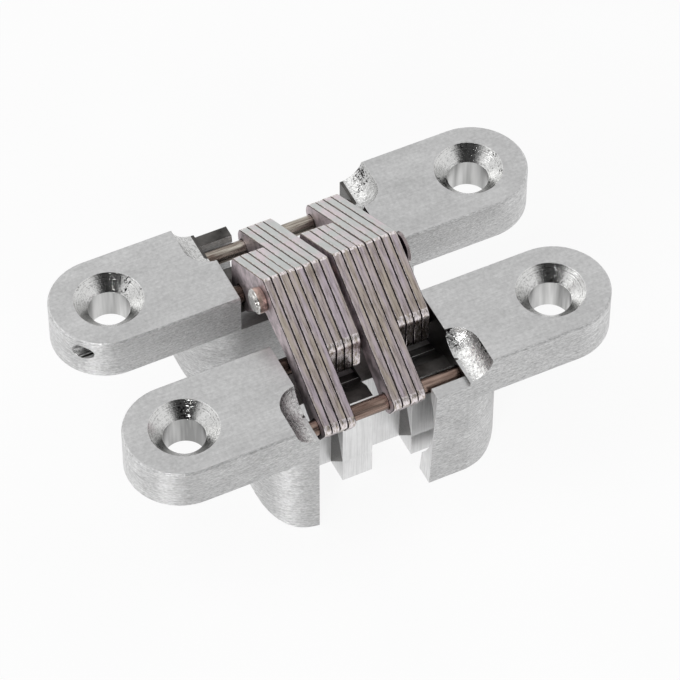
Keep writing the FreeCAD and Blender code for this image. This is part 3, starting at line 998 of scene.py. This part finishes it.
def floor_material(settings):
    """Matt paper: white in view and in reflections, and still dimmed a little by the shadow."""
    material, tree, shader = new_material("matt studio paper", Roughness=0.9)
    shader.inputs["Specular IOR Level"].default_value = 0.1
    fibres = streaks(tree, (60.0, 60.0, 60.0), detail=2.0)
    base = two_tone(tree, fibres, scaled(settings.floor, 0.985), settings.floor)
    tree.links.new(base, shader.inputs["Base Color"])
    glow = add_node(tree, "ShaderNodeEmission", {"Color": base}, {"Strength": settings.floor_glow})
    path = add_node(tree, "ShaderNodeLightPath")
    seen = add_node(
        tree, "ShaderNodeMath", {0: path.outputs["Is Camera Ray"], 1: path.outputs["Is Glossy Ray"]},
        operation="MAXIMUM")
    seen = add_node(
        tree, "ShaderNodeMath", {0: seen.outputs["Value"], 1: path.outputs["Is Transmission Ray"]},
        operation="MAXIMUM")
    share = add_node(
        tree, "ShaderNodeMath", {0: seen.outputs["Value"]}, {1: settings.floor_share}, operation="MULTIPLY")
    links = {0: share.outputs["Value"], 1: shader.outputs["BSDF"], 2: glow.outputs["Emission"]}
    mixed = add_node(tree, "ShaderNodeMixShader", links)
    tree.links.new(mixed.outputs["Shader"], tree.nodes["Material Output"].inputs["Surface"])
    return material


def studio_world(settings, dark_side):
    """Pale surroundings, softer as a lamp, and dark in reflections where the camera stands."""
    world = bpy.data.worlds.new("pale studio")
    bpy.context.scene.world = world
    world.use_nodes = True
    tree = world.node_tree
    background = tree.nodes["Background"]
    direction = add_node(tree, "ShaderNodeTexCoord").outputs["Generated"]
    nearness = add_node(
        tree, "ShaderNodeVectorMath", {0: direction}, {1: dark_side}, operation="DOT_PRODUCT")
    limits = {
        "From Min": math.cos(settings.dark_reach),
        "From Max": math.cos(settings.dark_core),
        "To Min": settings.surround,
        "To Max": settings.dark_level,
    }
    mirrored = add_node(tree, "ShaderNodeMapRange", {"Value": nearness.outputs["Value"]}, limits)
    path = add_node(tree, "ShaderNodeLightPath")
    both = add_node(
        tree, "ShaderNodeMath", {0: path.outputs["Is Glossy Ray"], 1: path.outputs["Is Transmission Ray"]},
        operation="MAXIMUM")
    links = {"Value": both.outputs["Value"], "To Max": mirrored.outputs["Result"]}
    strength = add_node(tree, "ShaderNodeMapRange", links, {"To Min": settings.lamp_level})
    links = {"Value": path.outputs["Is Camera Ray"], "To Min": strength.outputs["Result"]}
    strength = add_node(tree, "ShaderNodeMapRange", links, {"To Max": settings.surround})
    background.inputs["Color"].default_value = (*settings.backdrop, 1.0)
    tree.links.new(strength.outputs["Result"], background.inputs["Strength"])


def direction_at(azimuth, rise):
    """Direction from the hinge: azimuth 0 is straight before the near casting, plus to the right."""
    level = math.cos(rise)
    return Vector((math.sin(azimuth) * level, -math.cos(azimuth) * level, math.sin(rise)))


def soft_lamp(name, power, width, spot, aim):
    """A square soft box that points from one spot to another, in metres."""
    light = bpy.data.lights.new(name, "AREA")
    light.energy = power
    light.shape = "SQUARE"
    light.size = width
    lamp = bpy.data.objects.new(name, light)
    bpy.context.scene.collection.objects.link(lamp)
    lamp.location = spot
    lamp.rotation_euler = (Vector(aim) - Vector(spot)).to_track_quat("-Z", "Y").to_euler()


class HINGE_OT_stage(bpy.types.Operator):
    """Make the floor, the lamps and the camera"""
    bl_idname = "hinge.stage"
    bl_label = "Stage and camera"

    def execute(self, context):
        settings = context.scene.hinge_studio
        middle = Vector((0, 0, context.scene.hinge_casting.face_height * MM))
        back = direction_at(settings.azimuth, settings.elevation)
        data = bpy.data.cameras.new("photo camera")
        data.sensor_width = SENSOR_WIDTH
        data.lens = settings.focal_pixels * SENSOR_WIDTH / IMAGE_SIDE
        data.shift_x = settings.shift_x_pixels / IMAGE_SIDE
        data.shift_y = settings.shift_y_pixels / IMAGE_SIDE
        data.clip_start = NEAREST_SEEN
        camera = bpy.data.objects.new("photo camera", data)
        context.scene.collection.objects.link(camera)
        camera.location = middle + back * (settings.distance * MM)
        camera.rotation_euler = (-back).to_track_quat("-Z", "Y").to_euler()
        context.scene.camera = camera

        bpy.ops.mesh.primitive_plane_add(size=FLOOR_SIDE, location=(0, 0, -FLOOR_GAP))
        floor = context.object
        floor.name = "studio_floor"
        floor.data.materials.append(floor_material(settings))

        studio_world(settings, direction_at(settings.azimuth, settings.dark_rise))
        soft_lamp("key", settings.key_power, settings.key_width, settings.key_place, middle)
        soft_lamp("fill", settings.fill_power, settings.fill_width, settings.fill_place, middle)
        context.scene.view_settings.view_transform = "Standard"
        return {"FINISHED"}


# Panel and registration


class HINGE_PT_panel(bpy.types.Panel):
    """Lists the hinge's operators and settings"""
    bl_label = "Concealed hinge"
    bl_idname = "HINGE_PT_panel"
    bl_space_type = "VIEW_3D"
    bl_region_type = "UI"
    bl_category = "Hinge"

    def draw(self, context):
        for operator in OPERATORS:
            self.layout.operator(operator.bl_idname)
        for name, group in SETTINGS.items():
            box = self.layout.box()
            for key in group.__annotations__:
                box.prop(getattr(context.scene, name), key)


OPERATORS = (
    HINGE_OT_stage, HINGE_OT_castings, HINGE_OT_links, HINGE_OT_rods, HINGE_OT_rivet, HINGE_OT_washer,
)
CLASSES = tuple(SETTINGS.values()) + OPERATORS + (HINGE_PT_panel,)


def register():
    for item in CLASSES:
        bpy.utils.register_class(item)
    for name, group in SETTINGS.items():
        setattr(bpy.types.Scene, name, bpy.props.PointerProperty(type=group))


def unregister():
    for name in SETTINGS:
        delattr(bpy.types.Scene, name)
    for item in reversed(CLASSES):
        bpy.utils.unregister_class(item)


def main():
    register()
    bpy.ops.hinge.stage()
    bpy.ops.hinge.castings()
    bpy.ops.hinge.links()
    bpy.ops.hinge.rods()
    bpy.ops.hinge.rivet()
    bpy.ops.hinge.washer()


if __name__ == "__main__":
    main()
